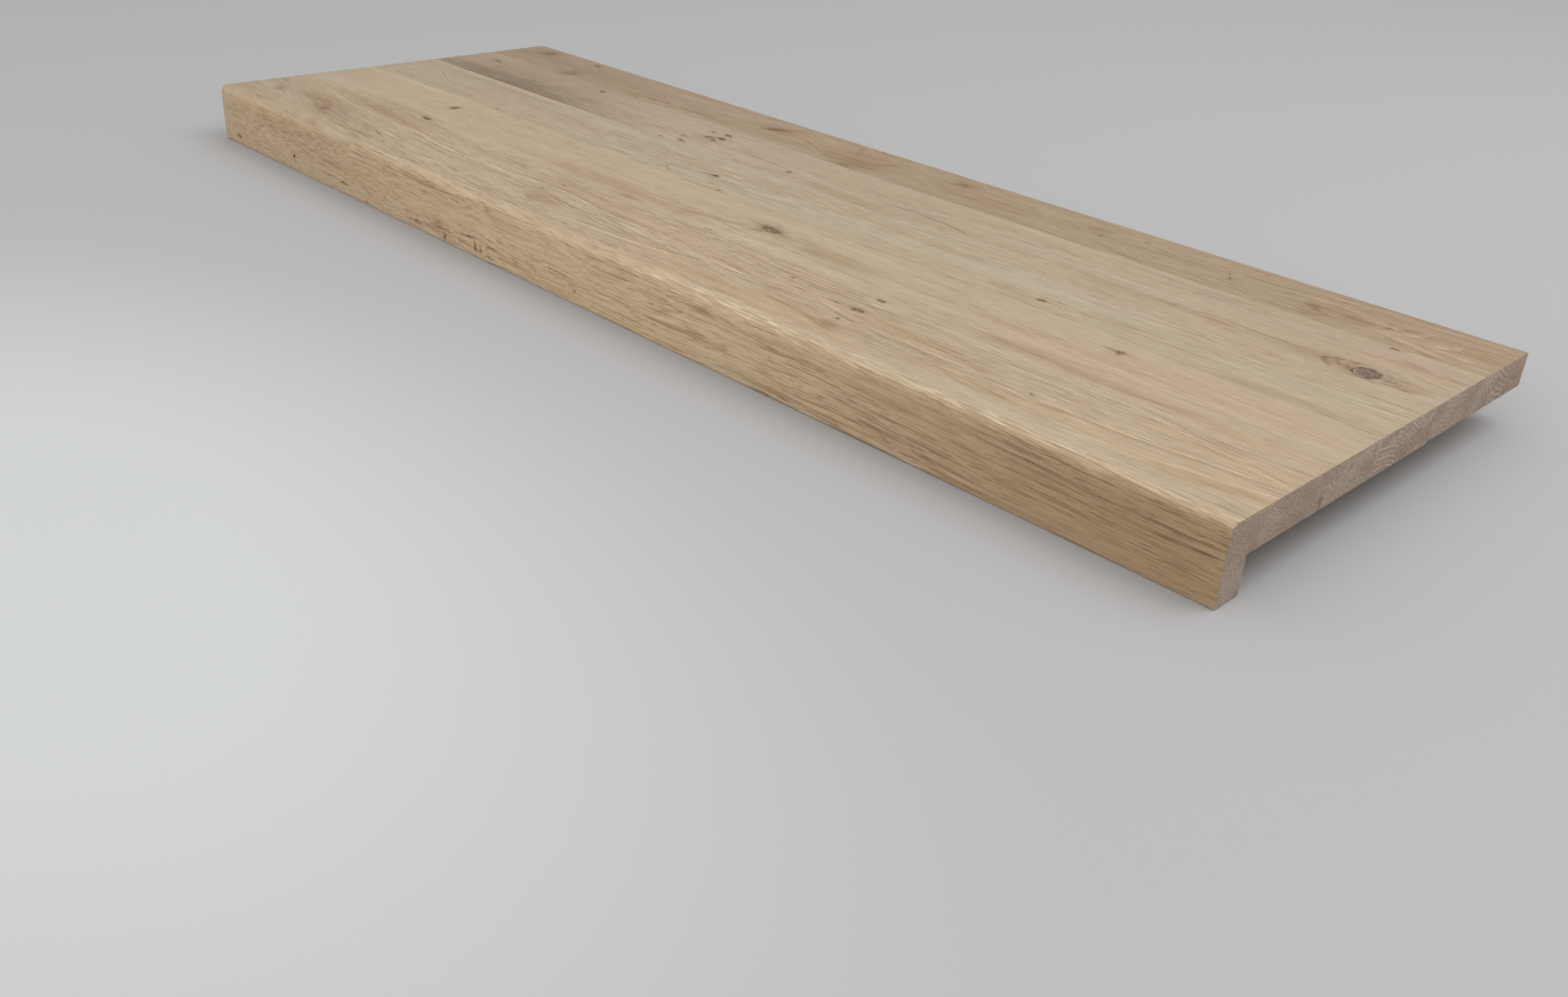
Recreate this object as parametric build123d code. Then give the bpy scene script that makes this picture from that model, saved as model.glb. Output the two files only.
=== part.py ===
from build123d import *
import os

# Overlay for one step of a stair: a flat oak panel with a nose turned down
# along its front. The panel is glued up edge to edge from staves that run the
# whole length. The front stave is cut to an L from thicker stock, so the nose
# and the front of the panel are one piece of wood.
#
# The origin is the bottom centre of the whole part. +X runs along the step,
# -Y is the front, where the nose is, and +Z is up. Sizes are millimetres.

os.makedirs("parts", exist_ok=True)

# Overall sizes
tread_length = 870.0
tread_depth = 300.0
panel_thickness = 20.0

# Nose
nose_depth = 40.0
nose_thickness = 18.5
nose_rounding = 5.0

# Stave widths. The rear stave is ripped to what is left of the depth
front_stave_width = 74.0
stave_width = 57.3

# The staves nearest the rear are thinner, and where the last thick one meets
# them its underside slants up to theirs
thin_staves = 2
thin_relief = 1.0
relief_slant = 2.2

# Rear edge of the underside
rear_rounding = 2.0

front = -tread_depth / 2
rear = tread_depth / 2
top = nose_depth
underside = top - panel_thickness
thin_underside = underside + thin_relief
nose_back = front + nose_thickness
first_joint = front + front_stave_width

staves_behind = max(1, round((rear - first_joint) / stave_width))
joints = [first_joint + place * stave_width for place in range(staves_behind)]


def run_along(*corners):
    """The solid that has this (y, z) outline over the whole length."""
    outline = Plane.YZ * make_face(Polyline(*corners, close=True))
    return extrude(outline, amount=tread_length / 2, both=True)


def long_edge(solid, y, z):
    """The edge along the step that lies nearest to this place."""
    return solid.edges().filter_by(Axis.X).sort_by_distance((0, y, z))[0]


# Front stave: the front of the panel and the nose in one L
front_stave = run_along(
    (front, 0),
    (nose_back, 0),
    (nose_back, underside),
    (first_joint, underside),
    (first_joint, top),
    (front, top),
)
staves = {"front_stave": fillet(long_edge(front_stave, front, top), nose_rounding)}

# Staves behind it, front to back
for place, (near, far) in enumerate(zip(joints, joints[1:] + [rear])):
    left_to_rear = staves_behind - place
    if left_to_rear <= thin_staves:
        bottom = [(near, thin_underside), (far, thin_underside)]
    elif left_to_rear == thin_staves + 1:
        bottom = [(near, underside), (far - relief_slant, underside), (far, thin_underside)]
    else:
        bottom = [(near, underside), (far, underside)]
    name = "rear_stave" if far == rear else f"middle_stave_{place + 1}"
    staves[name] = run_along(*bottom, (far, top), (near, top))

rear_bottom = staves["rear_stave"].bounding_box().min.Z
rear_arris = long_edge(staves["rear_stave"], rear, rear_bottom)
staves["rear_stave"] = fillet(rear_arris, rear_rounding)

for name, stave in staves.items():
    stave.label = name
    export_step(stave, f"parts/{name}.step")
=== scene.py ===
import math
from functools import partial
from typing import NamedTuple

import bmesh
import bpy
from bpy.props import FloatProperty, FloatVectorProperty, PointerProperty
from mathutils import Matrix, Vector


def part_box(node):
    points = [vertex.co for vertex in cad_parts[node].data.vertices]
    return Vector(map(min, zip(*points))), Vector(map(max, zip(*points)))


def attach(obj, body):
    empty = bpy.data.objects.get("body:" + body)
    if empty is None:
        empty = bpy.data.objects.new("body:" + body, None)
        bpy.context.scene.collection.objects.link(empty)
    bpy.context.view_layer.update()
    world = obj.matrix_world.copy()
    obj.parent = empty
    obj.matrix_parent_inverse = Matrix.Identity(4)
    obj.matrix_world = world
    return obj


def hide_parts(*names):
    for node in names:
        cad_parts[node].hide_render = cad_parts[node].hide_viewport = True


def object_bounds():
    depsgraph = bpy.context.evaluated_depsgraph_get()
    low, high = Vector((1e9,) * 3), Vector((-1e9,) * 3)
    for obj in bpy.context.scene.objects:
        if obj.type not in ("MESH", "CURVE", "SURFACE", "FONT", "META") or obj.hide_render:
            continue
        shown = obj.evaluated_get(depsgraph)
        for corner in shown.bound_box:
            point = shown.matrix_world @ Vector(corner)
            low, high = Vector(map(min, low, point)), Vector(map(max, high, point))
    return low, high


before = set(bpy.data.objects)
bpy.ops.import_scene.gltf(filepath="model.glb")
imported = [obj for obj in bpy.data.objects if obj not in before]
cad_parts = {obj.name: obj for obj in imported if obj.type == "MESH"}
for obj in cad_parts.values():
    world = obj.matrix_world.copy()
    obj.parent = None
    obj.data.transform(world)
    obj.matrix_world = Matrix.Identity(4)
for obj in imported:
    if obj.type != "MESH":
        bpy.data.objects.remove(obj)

bl_info = {
    "name": "Oak tread overlay",
    "version": (1, 0, 0),
    "blender": (4, 5, 0),
    "location": "3D View > Sidebar > Tread",
    "description": "Makes an oak overlay for a stair tread from its packed staves",
    "category": "Object",
}

MM = 0.001
CAD_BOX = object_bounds()
LOW, HIGH = CAD_BOX
LENGTH = (HIGH.x - LOW.x) / MM
TOP = (HIGH.z - LOW.z) / MM


def in_mm(corner):
    """A place in the frame, as mm from the left end, the front and the floor."""
    return (corner - LOW) / MM


def nose_back():
    """How far back the nose reaches, in mm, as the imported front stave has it."""
    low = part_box("front_stave")[0].z
    spots = [v.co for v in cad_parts["front_stave"].data.vertices]
    return max(in_mm(spot).y for spot in spots if spot.z < low + MM)


# What each stave looks like

STROKE_OVERLAP = 0.6  # half the length of each run of a stroke, as a share of it


class Knot(NamedTuple):
    """A knot, an eye or a crack, in mm. It is placed from the left end and
    from the front, or on the face of the nose down from the top."""

    along: float
    across: float
    length: float  # half of it, along the grain
    width: float  # half of it, across the grain
    dark: float = 0.8
    tone: str = "brown"
    turn: float = 0.0  # degrees that it is turned out of the grain
    core: float = 0.0  # how pale it is inside
    rim: float = 0.0  # how dark the line round it is
    halo: float = 0.35
    tail: float = 0.0  # how far the halo runs on along the grain
    hollow: float = 0.0  # mm that it is sunk
    # Degrees to the side of a ringed knot where a painted highlight arc lies inside its rim
    highlight_side: float = None  # degrees to the side of a pale arc in a ringed knot
    side: float = None  # degrees to the side that the rim keeps to
    face: str = "top"


class Stain(NamedTuple):
    """A soft patch of another shade, in mm, placed as a knot is, or on the
    sawn end from the front and down from the top."""

    along: float
    across: float
    length: float
    width: float
    tint: str
    strength: float
    turn: float = 0.0
    face: str = "top"


def stroke(tint, strength, width, *spots, face="top"):
    """One wavy stroke of another shade that runs from spot to spot."""
    made = []
    for (along, across), (ahead, aside) in zip(spots, spots[1:]):
        half = math.hypot(ahead - along, aside - across) * STROKE_OVERLAP
        turn = math.degrees(math.atan2(aside - across, ahead - along))
        if face == "front":
            turn = -turn
        middle = (along + ahead) / 2, (across + aside) / 2
        made.append(Stain(*middle, half, width, tint, strength, turn, face))
    return made


darker, lighter = partial(stroke, "dark"), partial(stroke, "light")
browner, redder = partial(stroke, "brown"), partial(stroke, "red")


class Stave(NamedTuple):
    """One stave: where its pith runs, its rings, and what grows in it."""

    node: str
    pith: tuple  # mm from the front and from the floor, at the left end
    drift: tuple  # how far the pith has moved by the right end
    ring: float  # mm between growth rings
    lined: float  # how clearly the rings show on the sawn ends
    figure: float  # how strongly the grain shows
    wander: tuple  # mm that the fibres wander, at the left and the right end
    lean: float  # mm that the grain runs askew towards the left end
    seed: float
    knots: tuple
    stains: tuple


FRONT_KNOTS = (
    Knot(31, 32.4, 5, 3, 0.15, turn=-30, halo=0.45),
    Knot(99, 33, 5, 2.2, 0.15, turn=-30, halo=0.35),
    Knot(181, 26.5, 4, 0.6, 0.5, turn=-18),
    Knot(351.6, 58.9, 2.2, 0.8, 0.7, turn=-10),
    Knot(347.8, 44.6, 1.3, 0.8, 0.6),
    Knot(348.6, 42.3, 1.1, 0.7, 0.5),
    Knot(560.3, 59, 1.6, 0.9, 0.6),
    Knot(574.7, 49.7, 5, 0.5, 0.6),
    Knot(614, 72.4, 2.4, 1.5, 0.7, core=0.5, rim=0.5, hollow=0.2),
    Knot(615.3, 52.0, 3.6, 1.9, 0.65, "grey", core=1.0, rim=0.8, tail=9, hollow=0.4),
    Knot(598, 51.6, 6, 0.45, 0.6),
    Knot(617.6, 34.5, 1.5, 1.1, 0.8),
    Knot(741.5, 39.2, 1.8, 1.5, 0.0, rim=0.8, halo=0.2, side=200),
    Knot(22.5, 34, 2.4, 0.9, 0.75, face="front"),
    Knot(107, 29.6, 2.0, 1.1, 0.9, hollow=0.2, face="front"),
    Knot(106.8, 31.8, 0.8, 2.4, 0.5, halo=0.2, face="front"),
    Knot(112, 29.2, 3.2, 0.4, 0.7, halo=0, face="front"),
    Knot(159, 31, 5, 0.5, 0.5, face="front"),
    Knot(177, 32.3, 5, 0.5, 0.85, hollow=0.2, face="front"),
    Knot(206, 38, 1.5, 0.9, 0.6, face="front"),
    Knot(269, 34.5, 1.6, 0.8, 0.7, face="front"),
    Knot(296, 29.4, 3.2, 1.7, 0.1, rim=0.5, face="front"),
    Knot(301.8, 36.8, 1.6, 1.6, 0.75, face="front"),
    Knot(329, 28.7, 7, 0.5, 0.75, turn=3, face="front"),
    Knot(336.7, 33.5, 0.9, 3.0, 0.7, turn=8, hollow=0.3, face="front"),
    Knot(342.4, 33, 0.8, 2.2, 0.6, turn=-6, face="front"),
    Knot(354.5, 30, 5.5, 0.5, 0.65, turn=4, face="front"),
    Knot(351, 36.2, 2, 0.6, 0.6, face="front"),
    Knot(439, 31.5, 1.2, 0.9, 0.6, face="front"),
)
FRONT_STAINS = (
    Stain(0, 30, 70, 60, "grey", 0.45),
    Stain(95, 42, 150, 55, "grey", 0.6),
    Stain(130, 66, 80, 12, "red", 0.5, -5),
    Stain(92, 38, 52, 16, "red", 0.6, -12),
    Stain(95, 32, 26, 8, "plum", 0.3, -20),
    Stain(140, 20, 90, 9, "red", 0.25),
    Stain(132, 5, 8, 5, "red", 0.8),
    *lighter(0.7, 1.3, (50, 62), (97, 54), (150, 50), (200, 49)),
    *redder(0.5, 3.2, (110, 62), (160, 59), (210, 56)),
    *lighter(0.9, 1.2, (180, 53), (215, 47), (250, 45), (300, 47)),
    *darker(0.45, 1.2, (185, 49), (215, 44), (250, 42)),
    *lighter(0.9, 1.2, (138, 38), (165, 35), (200, 31)),
    *darker(0.5, 1.2, (150, 33), (172, 30), (188, 25)),
    *redder(0.45, 4.0, (50, 43), (84, 33), (122, 21)),
    *darker(0.45, 1.1, (205, 41), (240, 37), (290, 37)),
    *lighter(0.6, 0.9, (245, 21), (275, 20)),
    *darker(0.5, 1.0, (300, 48), (322, 51), (342, 54), (372, 53), (405, 48), (440, 47)),
    *lighter(0.8, 1.0, (290, 45), (322, 48), (345, 51), (375, 50), (405, 46), (480, 45)),
    Stain(366, 30, 22, 12, "red", 0.6),
    Stain(359, 26, 6, 3, "brown", 0.7, -20),
    *lighter(1.0, 1.3, (366, 36), (374, 35), (381, 33)),
    *lighter(1.0, 1.1, (357, 17.6), (371, 17.8)),
    *darker(0.35, 1.0, (402, 22), (450, 26), (500, 33)),
    *lighter(0.8, 1.2, (405, 20), (455, 24), (505, 31)),
    *lighter(0.8, 1.2, (425, 41), (480, 38), (560, 42)),
    *darker(0.35, 1.0, (430, 17), (480, 23), (540, 20)),
    *darker(0.35, 0.9, (505, 48), (545, 44), (590, 46)),
    Stain(534, 20.6, 40, 5, "brown", 0.4),
    Stain(655, 47, 62, 8, "brown", 0.5, -3),
    Stain(590, 27, 50, 8, "brown", 0.35, -10),
    Stain(365, 55, 60, 14, "red", 0.3),
    Stain(700, 24, 90, 8, "brown", 0.25),
    *lighter(0.7, 1.0, (585, 47), (608, 44), (624, 41), (645, 38.5), (715, 39.5)),
    *darker(0.45, 1.0, (600, 42), (622, 38), (650, 36), (700, 36)),
    *lighter(0.5, 1.0, (640, 60), (700, 57), (760, 58)),
    *browner(0.7, 1.6, (575, 28), (600, 25), (618, 20)),
    Stain(620, 23, 10, 5, "brown", 1.0, -25),
    # Raised ridges of grain, drawn as a pale stroke with a darker one just in front of it: a
    # painted highlight and painted shade
    *lighter(0.9, 1.1, (744, 37), (768, 36), (803, 39.5), (845, 44), (872, 48)),
    *darker(0.4, 1.0, (750, 34), (803, 37.5), (845, 42), (872, 46)),
    Stain(840, 24, 48, 6, "brown", 0.5, 12),
    *lighter(0.7, 1.0, (768, 17.5), (803, 25), (845, 31), (872, 38)),
    *darker(0.4, 0.9, (780, 70), (845, 57), (870, 51)),
    *lighter(0.5, 0.9, (770, 68), (835, 55), (870, 49)),
    Stain(870, 20, 270, 90, "russet", 1.0, 0, "front"),
    Stain(430, 18, 260, 60, "pale", 0.7, 0, "front"),
    Stain(90, 12, 80, 9, "red", 0.45, 0, "front"),
    Stain(180, 22, 90, 5, "red", 0.3, 0, "front"),
    Stain(40, 20, 130, 60, "pale", 0.35, 0, "front"),
    Stain(348, 32, 4, 3, "light", 0.5, 0, "front"),
    *darker(0.7, 0.8, (836, 17.8), (850, 17.3), (866, 16.5), face="front"),
    *darker(0.4, 0.7, (560, 8), (620, 13), (700, 14), face="front"),
    *lighter(0.4, 0.7, (560, 11), (620, 16), (700, 17), face="front"),
)
MIDDLE_1_KNOTS = (
    Knot(148.2, 110.3, 3.1, 4.1, 0.85, "olive", halo=0.5),
    Knot(163.6, 76.6, 5.0, 2.1, 0.9, turn=-4, halo=0.5),
    Knot(492.2, 107.2, 7.0, 3.8, 0.75, "grey", -8, 1.0, 0.3, 0.8, 24, 0.6),
    Knot(485.6, 109.6, 3.2, 1.1, 0.7, "grey", turn=-38, halo=0),
    Knot(486.5, 99.5, 5.0, 1.8, 0.25, "grey", turn=20, halo=0.3),
    Knot(394, 78.5, 6.5, 1.9, 0.2, halo=0.4),
    Knot(470.0, 77.1, 2.4, 1.3, 0.35, halo=0.2),
    Knot(732, 118.6, 8, 0.8, 0.3, halo=0),
    Knot(736.1, 117.6, 2.1, 2.1, 0.7, core=1.0, halo=0.7, tail=13),
    Knot(736, 115.8, 1.1, 2.0, 0.35, halo=0),
)
MIDDLE_1_STAINS = (
    Stain(0, 105, 60, 50, "grey", 0.3),
    Stain(130, 80, 70, 7, "red", 0.5),
    Stain(118, 128.5, 80, 2.5, "straw", 1.0),
    Stain(88, 128.7, 48, 2.8, "pale", 0.35),
    Stain(365, 88, 120, 15, "red", 0.55, 2),
    Stain(431, 84, 24, 7, "orange", 0.4),
    *browner(0.6, 4.0, (430, 88), (458, 94), (478, 102)),
    Stain(545, 100, 48, 10, "brown", 0.7, -3),
    Stain(530, 82, 66, 7.5, "straw", 1.0, -3),
    *darker(0.3, 0.9, (500, 91), (540, 89), (585, 88)),
    Stain(620, 119.5, 24, 4, "brown", 0.5),
    Stain(740, 80, 130, 7, "red", 0.6),
    Stain(700, 95, 100, 18, "pink", 0.9),
    Stain(800, 108, 90, 26, "pink", 0.9),
    Stain(680, 100, 60, 6, "brown", 0.3),
    *darker(0.35, 0.8, (650, 84), (690, 80), (750, 77), (800, 80)),
    Stain(300, 131, 260, 3.5, "pale", 0.4),
    Stain(78.5, 15, 2.5, 6, "dark", 0.9, face="end"),
    Stain(125.5, 10, 4, 14, "brown", 0.4, face="end"),
    Stain(129.8, 10, 1.2, 14, "pale", 0.6, face="end"),
)
MIDDLE_2_KNOTS = (
    Knot(388, 156.2, 2.7, 1.6, 0.9, halo=0.5, tail=5, hollow=0.3),
    Knot(414, 135.4, 2, 1.2, 0.5),
    Knot(664.9, 146, 2.6, 1.6, 0.65, core=1.0, rim=0.6, tail=9),
    Knot(786, 182, 3.4, 1.0, 0.3),
    Knot(56, 162, 13, 0.6, 0.45, turn=-24, halo=0),
)
MIDDLE_2_STAINS = (
    Stain(40, 160, 190, 40, "grey", 0.45),
    Stain(170, 155, 120, 24, "pink", 0.7),
    Stain(120, 186, 125, 2.8, "rose", 1.0),
    Stain(110, 178, 130, 4, "grey", 0.5),
    Stain(90, 138.5, 75, 7, "brown", 0.4),
    *browner(0.45, 1.6, (352, 149), (368, 152), (386, 154.5)),
    *browner(0.6, 1.6, (349, 148), (354, 141), (366, 136), (387, 133.5), (412, 134)),
    *darker(0.3, 0.8, (399, 154.4), (420, 155), (442, 159)),
    Stain(250, 137, 160, 5, "grey", 0.35),
    Stain(780, 179, 140, 12, "pink", 1.0),
    *darker(0.35, 0.8, (655, 139.7), (684, 139.5)),
    Stain(815, 137, 66, 6, "red", 0.45),
    *darker(0.4, 0.8, (750, 132.5), (872, 132.2)),
    *darker(0.25, 0.8, (775, 163.5), (800, 163)),
)
MIDDLE_3_KNOTS = (
    Knot(32.4, 229.3, 4.5, 1.8, 0.5, turn=-12),
    Knot(163, 237.8, 2.4, 1.6, 0.85),
    Knot(303.9, 230.3, 2.7, 1.5, 0.85, "olive", -5),
    Knot(316.6, 232.9, 3.8, 2.0, 0.85, "plum", -10),
    Knot(320.6, 222.9, 4.2, 2.2, 0.9, "plum", -15, hollow=0.4),
    Knot(312.2, 218.6, 4.0, 3.3, 0.6, "olive"),
    Knot(319.8, 214.7, 2.2, 1.8, 0.9, "olive", hollow=0.3),
    Knot(299.1, 204.7, 4.0, 0.9, 0.6, "olive"),
    Knot(307.3, 195.5, 3.0, 1.6, 0.8, "olive", -25, tail=14),
    Knot(290.5, 190.7, 2.2, 1.3, 0.5),
    Knot(408.8, 203.6, 2.4, 1.8, 0.75, halo=0.4),
    Knot(811, 201, 6.5, 4.5, 0.0, halo=0.4),
    # A ringed knot: its last number is the side of the painted highlight arc inside its rim
    Knot(828.4, 198.9, 7.0, 6.9, 0.85, "plum", 0, 0, 1.0, 0.4, 8, 0.5, 225),
    Knot(838.6, 199, 2.0, 3.4, 0.0, rim=0.35, halo=0, side=0),
    Knot(843, 198, 6, 0.6, 0.35),
    Knot(822.5, 243.2, 2.8, 1.1, 0.8),
)
MIDDLE_3_STAINS = (
    Stain(120, 222, 190, 60, "brown", 0.27),
    Stain(80, 215, 150, 50, "tan", 0.75),
    Stain(95, 183, 175, 36, "shadow", 0.95),
    *darker(0.5, 1.3, (20, 189.6), (120, 189.6), (185, 189.9), (238, 189.5)),
    *darker(0.4, 2.4, (97, 203), (118, 206), (130, 209)),
    *darker(0.4, 1.0, (158, 195), (166, 198), (174, 197)),
    Stain(172, 235, 8, 3, "light", 0.3),
    Stain(315, 214, 22, 11, "tan", 0.6),
    *lighter(0.5, 1.4, (322, 212), (334, 206), (345, 207)),
    *stroke("olive", 0.55, 2.4, (343, 214), (375, 211.5), (408, 207)),
    Stain(455, 196, 110, 8, "brown", 0.6),
    Stain(480, 190.5, 34, 3, "brown", 0.6),
    *darker(0.4, 1.0, (345, 202), (360, 196), (376, 190)),
    *darker(0.6, 1.0, (495, 206), (518, 208.4), (545, 206.5), (568, 201.5)),
    *darker(0.5, 0.8, (549, 195.6), (556, 193), (562, 189.8)),
    *lighter(0.45, 1.8, (560, 243.6), (640, 243.2), (740, 243.4)),
    *darker(0.35, 0.8, (639, 237.4), (745, 237.2)),
    Stain(665, 198, 26, 9, "brown", 0.4),
    Stain(741, 199, 16, 6.5, "pink", 1.0),
    Stain(739, 199, 12, 5, "red", 0.4),
    *redder(0.9, 1.0, (724, 203), (740, 205.5), (756, 205.2), (790, 201.5)),
    *redder(0.9, 1.1, (736, 193.8), (748, 193.2), (760, 193.8)),
    Stain(795, 201, 18, 7, "brown", 0.8),
    Stain(812, 202, 12, 8, "brown", 0.5),
    *browner(1.0, 1.9, (803.5, 199.5), (806, 203.8), (814, 206.8), (824, 208.5)),
    *darker(0.4, 0.8, (803.5, 199.5), (806, 203.8), (814, 206.3), (822, 208.3)),
    *browner(1.0, 1.9, (804, 200), (807.5, 196.2), (811, 194.5)),
    *browner(0.9, 1.3, (810, 203.5), (812.5, 200), (815, 197)),
    *browner(0.8, 1.2, (815.5, 203), (818, 200), (819.5, 197)),
    Stain(835, 228, 60, 20, "pink", 0.8),
    Stain(850, 199, 14, 9, "red", 0.55),
    *darker(0.6, 1.2, (836, 206), (843, 203), (850, 205)),
    *darker(0.6, 1.2, (838, 193), (846, 195), (856, 193)),
    Stain(845, 189, 22, 3, "rose", 0.8),
    *redder(0.6, 3.0, (833, 231), (852, 228), (872, 224)),
    *darker(0.3, 0.8, (830, 233), (850, 230), (872, 226)),
    Stain(716, 200, 60, 5, "red", 0.25),
)
REAR_KNOTS = (
    Knot(89, 290.8, 3.5, 2.0, 0.7, halo=0.5),
    Knot(321, 274.5, 5, 2.2, 0.2, turn=35, halo=0.7),
    Knot(496, 281.5, 4.2, 2.4, 0.05, rim=0.4, halo=0.7),
    Knot(616.8, 271.2, 1.3, 1.0, 0.8, halo=0.4),
    Knot(709.4, 268.8, 1.7, 1.0, 0.55, turn=-40, halo=0.4),
    Knot(705.8, 275.5, 0.8, 2.6, 0.5, turn=20, halo=0),
    Knot(776, 267.5, 13, 5, 0.0, rim=0.35, halo=0.5, side=190),
    Knot(806.5, 270.5, 1.4, 1.0, 0.6, halo=0.3),
    Knot(804.2, 276.0, 1.4, 1.1, 0.45, halo=0.3),
)
REAR_STAINS = (
    Stain(0, 275, 190, 40, "tan", 0.5),
    Stain(150, 272, 90, 30, "brown", 0.2),
    Stain(29, 287, 13, 10, "plum", 1.0),
    Stain(98, 256, 12, 15, "plum", 0.75),
    *redder(0.6, 3.5, (170, 256), (230, 259), (290, 257)),
    *lighter(0.5, 1.0, (200, 262), (245, 263)),
    *lighter(0.6, 1.2, (262, 279), (292, 279.5)),
    Stain(325, 277, 34, 13, "red", 0.7, 14),
    Stain(325, 278, 22, 5.5, "brown", 0.9, 40),
    Stain(362, 268, 24, 14, "brown", 0.25),
    *lighter(0.6, 2.2, (336, 281), (352, 279), (368, 272), (386, 262)),
    *lighter(0.5, 2.2, (338, 270), (362, 267), (384, 256)),
    *browner(0.6, 2.4, (330, 268), (350, 274), (372, 267), (402, 254)),
    *lighter(0.7, 2.2, (398, 271), (408, 276), (419, 285)),
    *browner(0.6, 3.2, (394, 296), (400, 284), (407, 274)),
    Stain(412, 268, 38, 34, "brown", 0.55),
    Stain(424, 258, 24, 14, "brown", 0.6),
    Stain(417, 248.5, 12, 4.5, "dark", 0.45),
    *browner(0.5, 3.6, (428, 268), (438, 278), (452, 290)),
    Stain(500, 286, 14, 7, "brown", 0.6),
    *darker(0.35, 0.9, (484, 288), (496, 291), (510, 288)),
    Stain(530, 266, 60, 12, "red", 0.25),
    Stain(611, 282, 12, 7, "brown", 0.8),
    Stain(643, 283.8, 4, 3, "plum", 0.8, -30),
    *browner(0.7, 1.4, (645, 281), (672, 276), (706, 276.5)),
    *darker(0.35, 0.9, (690, 281), (698, 283), (705, 280)),
    *darker(0.3, 0.9, (720, 257), (760, 251), (790, 247)),
    Stain(763, 269, 6, 3, "brown", 0.9, -15),
    Stain(786, 267.5, 7, 5.5, "brown", 0.6),
    Stain(766, 254.5, 8, 5, "red", 0.8),
    *lighter(1.0, 1.8, (806, 263), (815, 267), (822, 272), (826, 281)),
    *browner(0.9, 2.2, (803, 266), (810, 272), (820, 279)),
    *lighter(0.9, 1.3, (770, 264), (785, 260), (812, 254.5)),
    *lighter(1.0, 1.6, (800, 262), (822, 258), (845, 253)),
    *darker(0.3, 1.0, (780, 262), (800, 258), (820, 254)),
    *browner(0.6, 1.8, (812, 255), (828, 251.5), (845, 247.5)),
    *lighter(1.0, 1.6, (833, 261.5), (846, 260.5), (858, 258)),
    *lighter(1.0, 1.7, (834, 264), (842, 269), (845, 275)),
    *lighter(0.7, 1.5, (850, 276), (862, 281), (872, 286)),
    *lighter(0.8, 1.3, (852, 254), (872, 252.5)),
    *darker(0.45, 0.9, (836, 262.8), (843, 265.5), (852, 270)),
    Stain(858, 271, 18, 7, "brown", 0.45),
    Stain(830, 272, 75, 30, "pale", 0.4),
    Stain(285, 10, 24, 20, "brown", 0.4, face="end"),
    *lighter(0.6, 1.1, (745, 291), (800, 292), (870, 294)),
    *darker(0.4, 1.0, (740, 287), (800, 288), (868, 290)),
)

STAVES = (
    Stave(
        "front_stave", pith=(-70, -30), drift=(14, -14), ring=2.6, lined=0.2, figure=1.0,
        wander=(6.0, 1.2), lean=43, seed=3.1,
        knots=FRONT_KNOTS, stains=FRONT_STAINS,
    ),
    Stave(
        "middle_stave_1", pith=(70, 8), drift=(7, 14), ring=2.4, lined=0.6, figure=0.55,
        wander=(2.6, 1.8), lean=0, seed=7.7,
        knots=MIDDLE_1_KNOTS, stains=MIDDLE_1_STAINS,
    ),
    Stave(
        "middle_stave_2", pith=(120, -20), drift=(15, 15), ring=2.2, lined=1.0, figure=0.85,
        wander=(1.6, 1.6), lean=0, seed=12.4,
        knots=MIDDLE_2_KNOTS, stains=MIDDLE_2_STAINS,
    ),
    Stave(
        "middle_stave_3", pith=(175, -40), drift=(15, 10), ring=2.4, lined=0.6, figure=0.6,
        wander=(1.8, 2.0), lean=0, seed=18.9,
        knots=MIDDLE_3_KNOTS, stains=MIDDLE_3_STAINS,
    ),
    Stave(
        "rear_stave", pith=(262, 50), drift=(15, -2), ring=3.0, lined=1.0, figure=0.85,
        wander=(3.0, 4.0), lean=0, seed=25.3,
        knots=REAR_KNOTS, stains=REAR_STAINS,
    ),
)


# What a user can change


def length_setting(name, description, default, low, high, precision=4):
    """A size that a user can change, in metres."""
    return FloatProperty(
        name=name, description=description, default=default, min=low, max=high,
        precision=precision, subtype="DISTANCE", unit="LENGTH",
    )


def share_setting(name, description, default, low, high):
    """A strength that a user can change."""
    return FloatProperty(
        name=name, description=description, default=default, min=low, max=high, subtype="FACTOR"
    )


def power_setting(name, description, default):
    """The power of a lamp that a user can change, in watts."""
    return FloatProperty(
        name=name, description=description, default=default, min=0, max=500, unit="POWER"
    )


def colour(name, description, red, green, blue):
    """A colour that a user can change, given as a screen shows it, 0 to 255."""
    linear = [((c / 255 + 0.055) / 1.055) ** 2.4 for c in (red, green, blue)]
    return FloatVectorProperty(
        name=name, description=description, default=linear, size=3, min=0, max=1,
        subtype="COLOR",
    )


class TreadSizes(bpy.types.PropertyGroup):
    """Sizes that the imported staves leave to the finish."""

    nose_thickness: length_setting(
        "Nose thickness", "Front to back through the nose", nose_back() * MM, 0.005, 0.06
    )
    nose_rounding: length_setting(
        "Nose rounding", "Radius where the top turns down into the nose", 0.005, 0.001, 0.009
    )
    rear_rounding: length_setting(
        "Rear rounding", "Radius along the bottom of the rear edge", 0.002, 0.0005, 0.006
    )
    relief_slant: length_setting(
        "Relief slant", "Width of the slant up to the thinner staves", 0.0022, 0.0005, 0.01
    )
    arris: length_setting(
        "Arris", "How much the sharp edges are eased with sandpaper", 0.0004, 0.0001, 0.002
    )
    hollow: share_setting(
        "Hollow knots", "How much of their depth the open knots have", 1.0, 0.0, 1.5
    )


FACES, HEARTS = "Middle shade of its faces", "Darkest wood inside them"


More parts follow.
